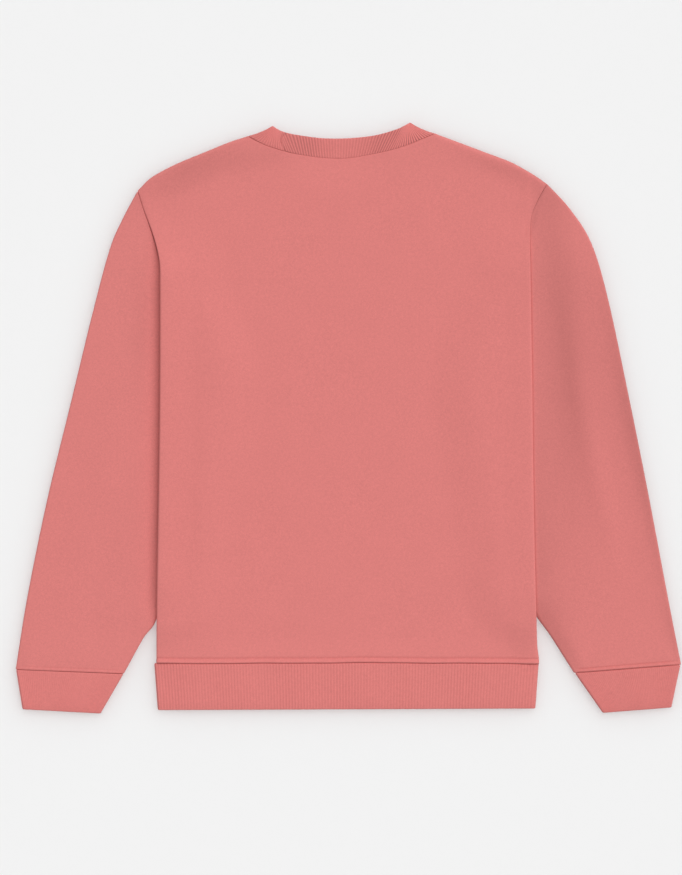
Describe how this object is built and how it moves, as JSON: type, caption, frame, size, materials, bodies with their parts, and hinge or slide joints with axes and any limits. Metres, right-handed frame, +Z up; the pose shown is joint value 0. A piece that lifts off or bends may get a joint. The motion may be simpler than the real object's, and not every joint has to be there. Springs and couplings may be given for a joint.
{
  "type": "crewneck sweatshirt",
  "caption": "Plain long-sleeved crewneck sweatshirt laid flat with its back up, with ribbed neckband, cuffs and hem band and the sleeves folded straight down.",
  "frame": {"origin": "middle of the footprint, on the surface the garment lies on", "axes": "+X to the right as seen from above, +Y towards the neck, +Z up through the layers"},
  "size_m": [0.807, 0.7172, 0.0133],
  "materials": {
    "fleece": "matt coral pink jersey face, fine knit",
    "rib": "matt coral pink rib knit"
  },
  "bodies": {
    "root": {"back": "fleece", "front": "fleece", "sleeve_left": "fleece", "sleeve_right": "fleece", "neckband": "rib", "cuff_left": "rib", "cuff_right": "rib", "hem_band": "rib"}
  },
  "joints": []
}
